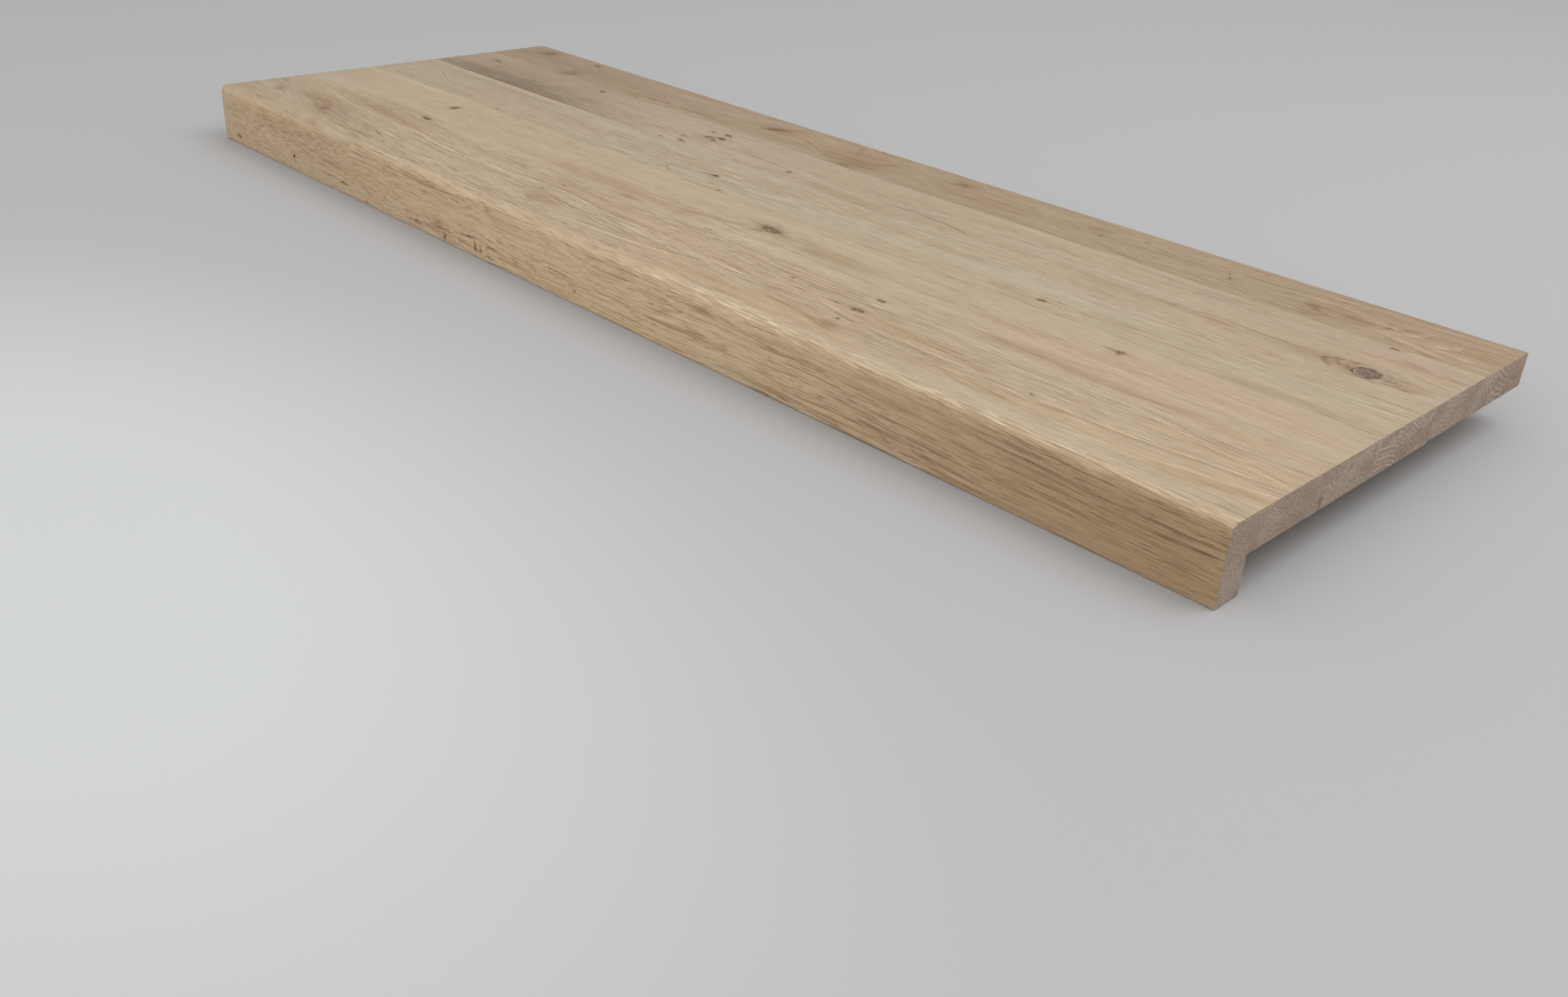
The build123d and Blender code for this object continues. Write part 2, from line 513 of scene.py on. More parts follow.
class TreadOak(bpy.types.PropertyGroup):
    """Colours of the raw oak."""

    front_stave: colour("Front stave", FACES, 181, 162, 136)
    middle_stave_1: colour("Middle stave 1", FACES, 180, 162, 137)
    middle_stave_2: colour("Middle stave 2", FACES, 177, 161, 137)
    middle_stave_3: colour("Middle stave 3", FACES, 174, 156, 133)
    rear_stave: colour("Rear stave", FACES, 163, 142, 117)
    pores: colour("Pores", "Shade of the open pores", 120, 98, 74)
    # Straw: the pale flecks and painted highlight along the rounding of the nose, and the painted
    # highlight arc in a ringed knot
    straw: colour("Straw", "Palest strokes in the grain", 214, 197, 168)
    knot_brown: colour("Brown knots", HEARTS, 90, 62, 36)
    knot_olive: colour("Olive knots", HEARTS, 97, 80, 54)
    knot_grey: colour("Grey knots", HEARTS, 83, 71, 55)
    knot_plum: colour("Plum knots", HEARTS, 92, 68, 60)
    end_pale: colour("Pale end grain", "Late wood on the sawn ends", 193, 173, 157)
    end_dark: colour("Dark end grain", "Early wood on the sawn ends", 130, 111, 96)
    roughness: share_setting("Roughness", "Of the sanded, unfinished faces", 0.6, 0.2, 1.0)
    relief: length_setting(
        "Grain relief", "Depth of the pores in the bump", 0.00018, 0.0, 0.001, precision=5
    )


class TreadStudio(bpy.types.PropertyGroup):
    """Floor, light and camera."""

    # The floor shows a painted pool of light: the first colour where it is palest, the next one as
    # painted shade further off
    floor: colour("Floor", "Plain pale floor, in front of the tread", 197, 200, 198)
    far_floor_painted_shade: colour("Far floor", "The same floor, further off", 177, 176, 176)
    surround: colour("Surround", "What shows past the floor", 180, 181, 183)
    daylight: share_setting("Soft light", "Strength of the even light from all round", 0.8, 0, 3)
    key: power_setting("Key light", "Power of the lamp above and behind, on the right", 23.5)
    fill: power_setting("Fill light", "Power of the lamp on the front", 15)
    lens: FloatProperty(
        name="Lens", description="Focal length for a 36 mm wide sensor",
        default=33.919, min=10, max=200, subtype="DISTANCE_CAMERA", unit="CAMERA",
    )


# Node trees written as sums


def sign(operation, swapped=False):
    """A method of Value for one sign, also where the other term comes first."""

    def method(self, other):
        terms = (other, self) if swapped else (self, other)
        return self.recipe.maths(operation, *terms)

    return method


class Value:
    """One output of a node. Maths on it adds nodes to the same recipe."""

    def __init__(self, recipe, socket):
        self.recipe = recipe
        self.socket = socket

    __add__, __radd__ = sign("ADD"), sign("ADD", True)
    __sub__, __rsub__ = sign("SUBTRACT"), sign("SUBTRACT", True)
    __mul__, __rmul__ = sign("MULTIPLY"), sign("MULTIPLY", True)
    __truediv__, __rtruediv__ = sign("DIVIDE"), sign("DIVIDE", True)
    least, most, dot = sign("MINIMUM"), sign("MAXIMUM"), sign("DOT_PRODUCT")

    def __abs__(self):
        return self.recipe.maths("ABSOLUTE", self)

    def long(self):
        return self.recipe.maths("LENGTH", self)

    def rise(self, start, end, low=0.0, high=1.0):
        """Eases from low to high while this goes from start to end."""
        return self.recipe.node(
            "ShaderNodeMapRange", {"interpolation_type": "SMOOTHSTEP"},
            {"Value": self, "From Min": start, "From Max": end, "To Min": low, "To Max": high},
        )


class Recipe:
    """A node tree that is written down one node at a time."""

    def __init__(self, tree):
        self.tree = tree

    def node(self, kind, settings=None, values=(), out=0):
        """Adds a node, makes its settings, then fills its open inputs. Gives the
        output that out numbers or names, or with None the node itself."""
        made = self.tree.nodes.new(kind)
        for name, setting in (settings or {}).items():
            setattr(made, name, setting)
        inputs = [s for s in made.inputs if s.enabled]
        pairs = values.items() if isinstance(values, dict) else enumerate(values)
        for key, value in pairs:
            socket = inputs[key] if isinstance(key, int) else named(inputs, key)
            if isinstance(value, Value):
                self.tree.links.new(value.socket, socket)
            elif socket.type == "RGBA":
                socket.default_value = (*value[:3], 1.0)
            elif socket.type == "VECTOR" and isinstance(value, (int, float)):
                socket.default_value = (value,) * 3
            else:
                socket.default_value = value
        if out is None:
            return made
        outputs = [s for s in made.outputs if s.enabled]
        return Value(self, outputs[out] if isinstance(out, int) else named(outputs, out))

    def maths(self, operation, *terms):
        """Math for numbers, and Vector Math where a colour or a vector takes part."""
        vectors = [t for t in terms if is_vector(t)]
        if not vectors:
            return self.node("ShaderNodeMath", {"operation": operation}, terms)
        if len(vectors) < len(terms) and operation == "MULTIPLY":
            number = next(t for t in terms if not is_vector(t))
            values = {"Vector": vectors[0], "Scale": number}
            return self.node("ShaderNodeVectorMath", {"operation": "SCALE"}, values)
        if operation == "DIVIDE" and isinstance(terms[1], Value) and not is_vector(terms[1]):
            return terms[0] * (1 / terms[1])
        return self.node("ShaderNodeVectorMath", {"operation": operation}, terms)

    def noise(self, place, size, seed=0.0, detail=2.0, rough=0.5, out="Fac"):
        """Cloudy noise with patches about this many mm long in x, y and z."""
        shift = (seed, seed * 1.7, seed * 2.3)
        scaled = self.maths("MULTIPLY_ADD", place, tuple(1 / s for s in size), shift)
        return self.node(
            "ShaderNodeTexNoise", {},
            {"Vector": scaled, "Scale": 1.0, "Detail": detail, "Roughness": rough}, out,
        )

    def mix(self, a, b, share, blend="MIX"):
        """Colour a, with b laid over it by share."""
        return self.node(
            "ShaderNodeMix", {"data_type": "RGBA", "blend_type": blend},
            {"Factor": share, "A": a, "B": b},
        )

    def parts(self, vector):
        """The x, y and z of a vector."""
        split = self.node("ShaderNodeSeparateXYZ", {}, [vector], out=None)
        return [Value(self, s) for s in split.outputs]


def named(sockets, name):
    return next(s for s in sockets if s.name == name)


def is_vector(term):
    """Whether a term of a sum is a vector or a colour."""
    if isinstance(term, Value):
        return term.socket.type != "VALUE"
    return not isinstance(term, (int, float))


def new_material(name):
    """An empty material, and the recipe that fills it."""
    material = bpy.data.materials.new(name)
    material.use_nodes = True
    material.node_tree.nodes.clear()
    return material, Recipe(material.node_tree)


# Oak

# Sizes of its patterns, in mm along, across and through a stave
SWAY = (300, 110, 110)
WANDER = (44, 11, 11)
UNEVEN_RINGS = (90, 30, 30)
BANDS = (230, 15, 15)
STREAKS = (100, 2.4, 2.4)
THREADS = (34, 1.2, 1.2)
NOSE_THREADS = (45, 0.9, 0.9)
PORES = (12, 0.7, 0.7)
FIBRES = (15, 1.4, 1.4)
# Size of the pale flecks and painted highlight strokes on the rounding
FLECK_AND_HIGHLIGHT_STROKES = (18, 0.8, 0.8)
CLOUDS = (20, 4, 4)
RAGGED_KNOTS = (3.4, 2.4, 2.4)
CRUMBS = (1.8, 1.2, 1.2)
FLAKES = (4.5, 0.9, 0.9)
PATCHY_RIMS = (5, 4, 4)
SAW_STIPPLE = (3.0, 0.7, 0.7)
END_PATCHES = (40, 24, 12)

STAIN_TINTS = {
    "brown": (0.80, 0.70, 0.58),
    "orange": (0.92, 0.76, 0.60),
    "red": (0.82, 0.68, 0.60),
    "olive": (0.66, 0.60, 0.46),
    "grey": (0.84, 0.84, 0.84),
    "plum": (0.66, 0.58, 0.56),
    "pink": (1.02, 0.96, 0.98),
    "rose": (1.12, 1.05, 1.05),
    "russet": (0.73, 0.66, 0.60),
    "tan": (0.79, 0.79, 0.73),
    "shadow": (0.59, 0.54, 0.50),
    "dark": (0.60, 0.53, 0.46),
    "straw": (1.05, 1.08, 1.02),
    "pale": (1.16, 1.16, 1.17),
    "light": (1.24, 1.24, 1.23),
}
HALO_TINT = (0.74, 0.63, 0.52)
END_PATCH_TINT = (0.84, 0.82, 0.80)
THIN_STROKE = 2.0  # mm of half width, under which a stain has an edge
LARGE_STAIN = 30  # mm of half width, from which its edge is less ragged
BENDING_KNOT = 1.4  # mm of half width, from which the grain bends round a knot
BEND_REACH = 2.2  # a knot bends the grain over this many of its lengths
LARGE_KNOT = 2.2  # mm of half width, from which growth rings run round a knot
RING_ROUND_KNOT = 1.4  # mm between those rings
RING_IN_KNOT = 1.1  # mm of each pale and each dark ring in a knot
FLAKE_SLANT = 0.6  # radians that the pale flakes in a knot lie askew
SWAY_BY, WAVE_BY = 16, 4  # mm that the grain sways, and that the strokes wave
LEAN_FROM, LEAN_TO = -250, 300  # mm along, between which the front stave's lean ends
# The pale strokes on the rounding are partly flecks, partly a painted highlight along it
NOSE_LINE = (0, 3, TOP - 1)  # where the pale strokes of the rounding gather
STROKE_SKEW = (0, 0.03, 0.03)  # mm that they run askew in each mm
HALF = (0.5, 0.5, 0.5)


def shaded(shade, red, green, blue):
    """A shade with each of its three parts multiplied."""
    return (shade[0] * red, shade[1] * green, shade[2] * blue)


def own_place(recipe, place, mark, swell=1.0, reach=0.0):
    """Where a place is, as seen from a knot or a stain: 1 away is on its edge.
    swell makes it larger all round, and reach is mm added to its length."""
    long, wide = 1 / (mark.length * swell + reach), 1 / (mark.width * swell)
    centre, scale, turn = (0, mark.along, TOP - mark.across), (0, long, wide), 0.0
    if mark.face == "top":
        centre, scale, turn = (mark.along, mark.across, 0), (long, wide, 0), -mark.turn
    elif mark.face == "front":
        centre, scale, turn = (mark.along, 0, TOP - mark.across), (long, 0, wide), mark.turn
    if not turn:
        shift = tuple(-c * s for c, s in zip(centre, scale))
        return recipe.maths("MULTIPLY_ADD", place, scale, shift)
    turned = recipe.node(
        "ShaderNodeVectorRotate",
        {"rotation_type": "Z_AXIS" if mark.face == "top" else "Y_AXIS"},
        {"Vector": place - centre, "Angle": math.radians(turn)},
    )
    return turned * scale


def towards(own, degrees):
    """How squarely a place seen from a knot lies to one side of it."""
    angle = math.radians(degrees)
    return own.dot((math.cos(angle), math.sin(angle), 0))


def roughened(recipe, place):
    """Keeps the edges of knots from being true ovals."""
    noise = recipe.noise(place, RAGGED_KNOTS, seed=4.0, detail=2.0, out="Color")
    return place + (noise - HALF) * (5.0, 3.4, 3.4)


def crumbly(recipe, place, seed, low=0.0, high=1.0):
    """The crumbled wood inside the knots, from low to high."""
    return recipe.noise(place, CRUMBS, seed + 7, 2.0).rise(0.40, 0.62, low, high)


def bend_round(recipe, place, knots):
    """Grain swings round the knots: the place each point would have without."""
    bent = place
    for knot in knots:
        if knot.width >= BENDING_KNOT:
            own = own_place(recipe, place, knot, BEND_REACH)
            side = (0, knot.width, 0) if knot.face == "top" else (0, 0, knot.width)
            bent = bent - (own * side) / own.dot(own).most(1.0)
    return bent


def draw_knots(recipe, wood, place, stave, look):
    """Lays the halos, hearts and rims of a stave's knots over the wood, and a painted highlight
    arc on one side of a ringed knot.
    """
    seed = stave.seed
    rough = roughened(recipe, place)
    crumbs = crumbly(recipe, place, seed)
    patchy = recipe.noise(place, PATCHY_RIMS, seed + 12, 1.0).rise(0.40, 0.58, 0.3, 1.0)
    slanted = recipe.node(
        "ShaderNodeVectorRotate", {"rotation_type": "Z_AXIS"},
        {"Vector": place, "Angle": FLAKE_SLANT},
    )
    flakes = recipe.noise(slanted, FLAKES, seed + 14, 1.0).rise(0.42, 0.58)
    for knot in stave.knots:
        ringed = knot.highlight_side is not None
        own = own_place(recipe, (place + rough) * 0.5 if ringed else rough, knot)
        gap = own.long()
        if knot.tail:
            far = own_place(recipe, rough, knot, 0.9, knot.tail).long()
            share = far.rise(1.0, 0.1, 0.0, 0.8)
            wood = recipe.mix(wood, STAIN_TINTS["brown"], share, "MULTIPLY")
        if knot.halo:
            share = gap.rise(2.6, 0.9, 0.0, knot.halo)
            wood = recipe.mix(wood, HALO_TINT, share, "MULTIPLY")
        tone = tuple(getattr(look, f"knot_{knot.tone}"))
        if knot.dark:
            heart = recipe.mix(tone, shaded(tone, 1.4, 1.38, 1.36), crumbs)
            if ringed:
                rings = gap * (knot.width / RING_IN_KNOT) + patchy * 1.5
                wave = recipe.maths("PINGPONG", rings, 1.0).rise(0.2, 0.8)
                wave = wave * gap.rise(0.1, 0.5, 0.2, 0.7)
                heart = recipe.mix(heart, shaded(tone, 2.8, 3.2, 3.2), wave)
            if knot.core:
                pale = gap.rise(0.9, 0.4, 0.0, knot.core) * flakes
                heart = recipe.mix(heart, shaded(tone, 3.2, 3.4, 4.0), pale)
            wood = recipe.mix(wood, heart, gap.rise(1.12, 0.85, 0.0, knot.dark))
        if knot.rim:
            edge = abs(gap - 1.0).rise(0.2 if ringed else 0.42, 0.0, 0.0, knot.rim) * patchy
            if knot.side is not None:
                edge = edge * towards(own, knot.side).rise(-0.1, 0.5)
            wood = recipe.mix(wood, shaded(tone, 0.75, 0.72, 0.70), edge)
        if ringed:
            # Painted highlight: a pale arc inside the rim, on one side of the ringed knot
            arc = abs(gap - 0.8).rise(0.09, 0.02) * towards(own, knot.highlight_side).rise(0.1, 0.6)
            wood = recipe.mix(wood, tuple(look.straw), arc * 0.4)
    return wood


def lay_stains(recipe, wood, place, cloudy, stave, face, mask=1.0):
    """Multiplies the wood by the tint of each stain that is placed on one face:
    patches are soft, strokes have an edge."""
    for stain in stave.stains:
        if stain.face != face:
            continue
        thin = stain.width < THIN_STROKE
        ragged = 0.9 if thin else 1.2 if stain.width < LARGE_STAIN else 0.6
        gap = own_place(recipe, place, stain).long() + cloudy * ragged
        share = gap.rise(1.2, 0.5 if thin else 0.1, 0.0, stain.strength) * mask
        wood = recipe.mix(wood, STAIN_TINTS[stain.tint], share, "MULTIPLY")
    return wood


class Rings(NamedTuple):
    """What the growth rings are at each point of a stave."""

    from_pith: Value
    radius: Value
    ring: Value  # how far through its year the wood is, 0 to 1
    vigour: Value  # how strongly that year shows
    spring: Value  # 1 in early wood, with its large pores


def growth_rings(recipe, place, bent, along, stave):
    """Rings round the pith, and round the larger knots."""
    pith = along * (0, stave.drift[0] / LENGTH, stave.drift[1] / LENGTH) + (0, *stave.pith)
    from_pith = (bent - pith) * (0, 1, 1)
    radius = from_pith.long()
    uneven = recipe.noise(from_pith, UNEVEN_RINGS, stave.seed + 1, 1.0)
    growth = radius / stave.ring + uneven * 3.0
    for knot in stave.knots:
        if knot.width > LARGE_KNOT and knot.face == "top":
            gap = own_place(recipe, place, knot).long()
            inside = gap * (knot.width / RING_ROUND_KNOT) - growth
            growth = growth + inside * gap.rise(1.1, 0.85)
    ring = recipe.maths("FRACT", growth)
    year = recipe.maths("FLOOR", growth)
    vigour = recipe.node("ShaderNodeTexWhiteNoise", {"noise_dimensions": "1D"}, [year])
    spring = ring.rise(0.0, 0.5, 1.0, 0.0).most(ring.rise(0.9, 1.0))
    return Rings(from_pith, radius, ring, vigour, spring)


def sanded_faces(recipe, bent, along, rings, fibre, nose, stave, look):
    """Shade of the sanded faces, with bands, streaks, threads and open pores.
    nose is 1 on the face of the nose, or None. Gives the shade and the pores."""
    seed, middle = stave.seed, tuple(getattr(look, stave.node))
    shade, warm, busy = recipe.parts(recipe.noise(bent, BANDS, seed + 2, 1.0, out="Color"))
    ring_tone = rings.spring * (rings.vigour * 0.8 + 0.3)
    streak = recipe.noise(bent, STREAKS, seed + 3, 2.0).rise(0.40, 0.68)
    thread = recipe.noise(bent, THREADS, seed + 6, 2.0)
    pore = recipe.noise(bent, PORES, seed + 4, 1.0, 0.6)
    pore = (pore + ring_tone * 0.06).rise(0.58, 0.69)
    strength = busy.rise(0.38, 0.62, 0.6, 1.3) * along.rise(-60, 400, 0.7, 1.0) * stave.figure

    pale, deep = shaded(middle, 1.03, 1.035, 1.03), shaded(middle, 0.96, 0.945, 0.92)
    wood = recipe.mix(pale, deep, shade.rise(0.35, 0.65))
    wood = recipe.mix(wood, shaded(middle, 1.0, 0.96, 0.915), warm.rise(0.42, 0.66))
    if nose is not None:
        # The top is plainer towards the right, the face of the nose more lined
        strength = strength * along.rise(450, 760, 1.0, 0.8)
        strength = strength * (nose * (along.rise(0, LENGTH, 1.05, 1.6) - 1.0) + 1.0)
        wood = recipe.mix(wood, shaded(middle, 0.99, 0.965, 0.925), nose * 0.6)
        # The face of the nose is multiplied brighter and warmer: partly its own warmer tone,
        # partly painted light that makes up for the dimmer light on this face
        wood = recipe.mix(wood, (1.13, 1.10, 1.04), nose, "MULTIPLY")
        finer = recipe.noise(bent, NOSE_THREADS, seed + 6, 2.0)
        thread = thread + (finer - thread) * nose
    dark = ring_tone * 0.26 + streak * 0.13 + thread.rise(0.51, 0.62) * 0.46
    light = thread.rise(0.42, 0.28)
    wood = recipe.mix(wood, shaded(middle, 0.66, 0.57, 0.48), (dark * strength).least(1.0))
    wood = recipe.mix(wood, shaded(middle, 1.14, 1.15, 1.14), (light * strength).least(1.0))
    wood = recipe.mix(wood, tuple(look.pores), (pore * strength * 0.38).least(1.0))
    return wood * fibre.rise(0.28, 0.72, 1.06, 0.94), pore


def flecks_and_rounding_highlight(recipe, wood, place, along, stave, look):
    """Pale strokes along the rounding of the nose, strongest past the middle: partly the grain's
    own flecks, partly a painted highlight where the rounding turns down.
    """
    skewed = place + along * STROKE_SKEW
    strokes = recipe.noise(skewed, FLECK_AND_HIGHLIGHT_STROKES, stave.seed + 10, 2.0).rise(0.50, 0.62)
    near = ((place - NOSE_LINE) * (0, 1, 1)).long() * along.rise(400, 560, 1.6, 1.0)
    near = near.rise(9.0, 1.5)
    kept = along.rise(60, 200, 0.0, 0.38) + along.rise(400, 560, 0.0, 0.42)
    kept = kept - along.rise(640, LENGTH, 0.0, 0.3)
    return recipe.mix(wood, tuple(look.straw), strokes * near * kept)


def sawn_end(recipe, place, along, rings, stipple, cloudy, stave, look):
    """Shade of the sawn ends: greyer and mottled, with rings and rays."""
    y, z = recipe.parts(rings.from_pith)[1:]
    angle = recipe.maths("ARCTAN2", z, y)
    ray_place = recipe.node(
        "ShaderNodeCombineXYZ", {}, [along / 9.0, rings.radius / 12.0, angle * 70.0]
    )
    ray = recipe.noise(ray_place, (1, 1, 1), stave.seed + 5, 1.0).rise(0.54, 0.70)
    patch = recipe.noise(place, END_PATCHES, stave.seed + 11, 2.0)
    lined = patch.rise(0.40, 0.60, 0.3, 1.0) * stave.lined
    early = rings.spring * (rings.vigour * 0.6 + 0.35) * lined
    late = rings.ring.rise(0.6, 0.85) * (rings.vigour * 0.7 + 0.3) * lined
    pale, dark = tuple(look.end_pale), tuple(look.end_dark)
    end = recipe.mix(dark, pale, stipple.rise(0.34, 0.66))
    end = recipe.mix(end, dark, early)
    end = recipe.mix(end, pale, late)
    end = recipe.mix(end, pale, ray * 0.15)
    end = recipe.mix(end, END_PATCH_TINT, patch.rise(0.58, 0.40), "MULTIPLY")
    return lay_stains(recipe, end, place, cloudy, stave, "end")


def oak(stave, look):
    """Raw sanded oak of one stave, as a solid that any face or end cuts through."""
    material, recipe = new_material(f"raw oak of the {stave.node.replace('_', ' ')}")
    seed = stave.seed
    spot = recipe.node("ShaderNodeTexCoord", out="Object")
    place = (spot - LOW) / MM
    facing = recipe.parts(recipe.node("ShaderNodeTexCoord", out="Normal"))
    sawn = abs(facing[0]).rise(0.5, 0.85)
    nose = facing[1].rise(-0.5, -0.9) if stave.node == "front_stave" else None
    along = recipe.parts(place)[0]

    # Fibres sway, wander and lean along the stave, and swing round its knots
    sway = recipe.noise(place, SWAY, seed, 0.0, out="Color") - HALF
    wander = recipe.noise(place, WANDER, seed + 9, 1.0, out="Color") - HALF
    bent = bend_round(recipe, place, stave.knots) + sway * (0, SWAY_BY, SWAY_BY)
    bent = bent + (wander * (0, 1, 1)) * along.rise(0, LENGTH, *stave.wander)
    if stave.lean:
        bent = bent + along.rise(LEAN_FROM, LEAN_TO, -stave.lean, 0.0) * (0, 1, 0)

    rings = growth_rings(recipe, place, bent, along, stave)
    fibre = recipe.noise(bent, FIBRES, seed + 5, 2.0)
    stipple = recipe.noise(place, SAW_STIPPLE, seed + 8, 2.0, 0.65)
    cloudy = recipe.noise(bent, CLOUDS, seed + 6, 2.0) - 0.5
    wood, pore = sanded_faces(recipe, bent, along, rings, fibre, nose, stave, look)
    waved = place + wander * (0, WAVE_BY, WAVE_BY)
    if nose is not None:
        # Pale flecks with a painted highlight along the rounding of the nose
        wood = flecks_and_rounding_highlight(recipe, wood, place, along, stave, look)
    wood = lay_stains(recipe, wood, waved, cloudy, stave, "top")
    if nose is not None:
        wood = lay_stains(recipe, wood, waved, cloudy, stave, "front", nose)
    wood = draw_knots(recipe, wood, place, stave, look)
    end = sawn_end(recipe, place, along, rings, stipple, cloudy, stave, look)

    bump = recipe.node(
        "ShaderNodeBump", {},
        {"Height": fibre * 1.2 - stipple * sawn * 1.5, "Strength": 1.0, "Distance": look.relief},
    )
    rough = (pore * 0.1 + sawn * 0.12 + look.roughness).least(1.0)
    shade = recipe.mix(wood, end, sawn)
    shader = recipe.node(
        "ShaderNodeBsdfPrincipled", {},
        {"Base Color": shade, "Roughness": rough, "Normal": bump, "Specular IOR Level": 0.35},
    )
    recipe.node("ShaderNodeOutputMaterial", {}, {"Surface": shader}, out=None)
    return material


# Stave bodies

STEP_ACROSS = 4.0  # mm between the points of a section
STEP_UNDER = 2.5  # mm between them under the panel
CLEAR_UNDER = 3.0  # mm there, before the next stave, without points
STEP_ALONG = 12.0  # mm between the sections of a stave
FINE_STEP = 0.6  # mm between points and sections at the hollow knots
FINE_STEP_ON_NOSE = 0.4
PAST_KNOT, PAST_KNOT_ON_NOSE = 2, 1  # mm past such a knot that they go on
END_REACH = 6  # mm at the right end where the sections are as close
EDGE_MORE = 0.1  # mm that the long edges are eased more than the ends
TOUCHING = 0.1  # mm under which two staves touch
SKIN = 0.01  # mm under a face that still counts as on it
LARGE_ROUNDING = 1  # mm of radius, from which a rounding has more points
ARC_STEPS, SMALL_ARC_STEPS = 10, 3
END_ARC = (0, 30, 60, 90)  # degrees round the eased end of a stave
SHARP_FROM = 35  # degrees between faces, from which an edge stays crisp
MERGE = 1e-7  # metres under which two points become one


class Corner(NamedTuple):
    """A corner of a stave's section, in mm from the front and the floor, with
    its rounding. glued says that the side to the next corner is a glue joint."""

    y: float
    z: float
    round: float = 0.0
    glued: bool = False
    fine: tuple = ()  # where the side to the next corner is divided


class Point(NamedTuple):
    """A point of the section and the way it goes in when the ends are eased."""

    place: Vector
    inward: Vector


def spread(low, high, step, spots=(), fine=FINE_STEP):
    """Places from low to high, step apart, and fine apart near the spots."""
    count = max(1, round((high - low) / step))
    places = [low + (high - low) * i / count for i in range(1, count)]
    for middle, reach in spots:
        start, end = max(low + fine, middle - reach), min(high - fine, middle + reach)
        more = int((end - start) / fine)
        if more > 0:
            places += [start + fine * i for i in range(more + 1)]
    nearest = fine * 0.6
    kept = [low]
    for place in sorted(places):
        if place - kept[-1] > nearest and high - place > nearest:
            kept.append(place)
    return kept[1:]


def outward(way):
    """Square to a side that runs this way, out of the wood."""
    return Vector((0, way.z, -way.y))


def rounding(middle, radius, come, go, out_come, out_go):
    """Points round a corner between the side it comes by and the one it goes by."""
    half = come.angle(go) / 2
    turn = 1 if come.cross(go).x > 0 else -1
    centre = middle - come * radius * math.tan(half) - outward(come) * radius * turn
    steps = ARC_STEPS if radius > LARGE_ROUNDING else SMALL_ARC_STEPS
    points = []
    for step in range(steps + 1):
        angle = step / steps * 2 * half
        out = out_come * math.sin(2 * half - angle) + out_go * math.sin(angle)
        out = out / math.sin(2 * half)
        points.append(Point(centre + out * radius * turn, -out))
    return points


def sharp(middle, out_come, out_go):
    """A corner that is eased with its sides at the ends, except a glued side."""
    both = out_come + out_go
    if both.length:
        both = both / (both.dot(out_go) or both.dot(both))
    return [Point(middle, -both)]


def outline(corners):
    """Points round a section, going round so that the wood is on the left."""
    points = []
    for i, here in enumerate(corners):
        back, ahead = corners[i - 1], corners[(i + 1) % len(corners)]
        middle = Vector((0, here.y, here.z))
        come = (middle - Vector((0, back.y, back.z))).normalized()
        go = (Vector((0, ahead.y, ahead.z)) - middle).normalized()
        out_come = outward(come) * (not back.glued)
        out_go = outward(go) * (not here.glued)
        if here.round:
            points += rounding(middle, here.round, come, go, out_come, out_go)
        else:
            points += sharp(middle, out_come, out_go)
        for place in here.fine:
            spot = Vector((0, here.y, place))
            if abs(go.y) > 0.5:
                spot = Vector((0, place, here.z + (place - here.y) / go.y * go.z))
            points.append(Point(spot, -out_go))
    return points


def hollow_spots(stave):
    """The hollow knots in the top: how far back each is, and how far it reaches."""
    knots = [knot for knot in stave.knots if knot.hollow and knot.face == "top"]
    return [(knot.across, knot.width + PAST_KNOT) for knot in knots]


def nose_section(stave, sizes):
    """Corners of the front stave: the panel's front with the nose turned down."""
    ease = sizes.arris / MM + EDGE_MORE
    nose, rounded = sizes.nose_thickness / MM, sizes.nose_rounding / MM
    back = in_mm(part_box(stave.node)[1]).y
    under = in_mm(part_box("middle_stave_1")[0]).z
    knots = [knot for knot in stave.knots if knot.hollow and knot.face == "front"]
    depths = [(TOP - knot.across, knot.width + PAST_KNOT_ON_NOSE) for knot in knots]
    tops = spread(rounded, back, STEP_ACROSS, hollow_spots(stave))
    fronts = spread(ease, TOP - rounded, STEP_ACROSS, depths, FINE_STEP_ON_NOSE)
    return [
        Corner(0, 0, ease, fine=spread(ease, nose - ease, STEP_ACROSS)),
        Corner(nose, 0, ease, fine=spread(ease, under - ease, STEP_ACROSS)),
        Corner(nose, under, ease, fine=spread(nose + ease, back, STEP_ACROSS)),
        Corner(back, under, glued=True),
        Corner(back, TOP, fine=reversed(tops)),
        Corner(0, TOP, rounded, fine=reversed(fronts)),
    ]


def panel_section(stave, sizes):
    """Corners of a stave of the panel behind the nose."""
    ease = sizes.arris / MM + EDGE_MORE
    low, high = (in_mm(corner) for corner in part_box(stave.node))
    relief = in_mm(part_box("rear_stave")[0]).z
    first_thin = in_mm(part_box("middle_stave_3")[0]).y
    rear = stave.node == "rear_stave"
    tops = spread(low.y, high.y - ease * rear, STEP_ACROSS, hollow_spots(stave))
    corners = [Corner(low.y, low.z, fine=spread(low.y, high.y - CLEAR_UNDER, STEP_UNDER))]
    if rear:
        corners.append(Corner(high.y, low.z, sizes.rear_rounding / MM))
    elif low.z < relief and abs(high.y - first_thin) < TOUCHING:
        corners.append(Corner(high.y - sizes.relief_slant / MM, low.z))
        corners.append(Corner(high.y, relief, glued=True))
    else:
        corners.append(Corner(high.y, low.z, glued=True))
    corners.append(Corner(high.y, TOP, ease * rear, fine=reversed(tops)))
    corners.append(Corner(low.y, TOP, glued=True))
    return corners


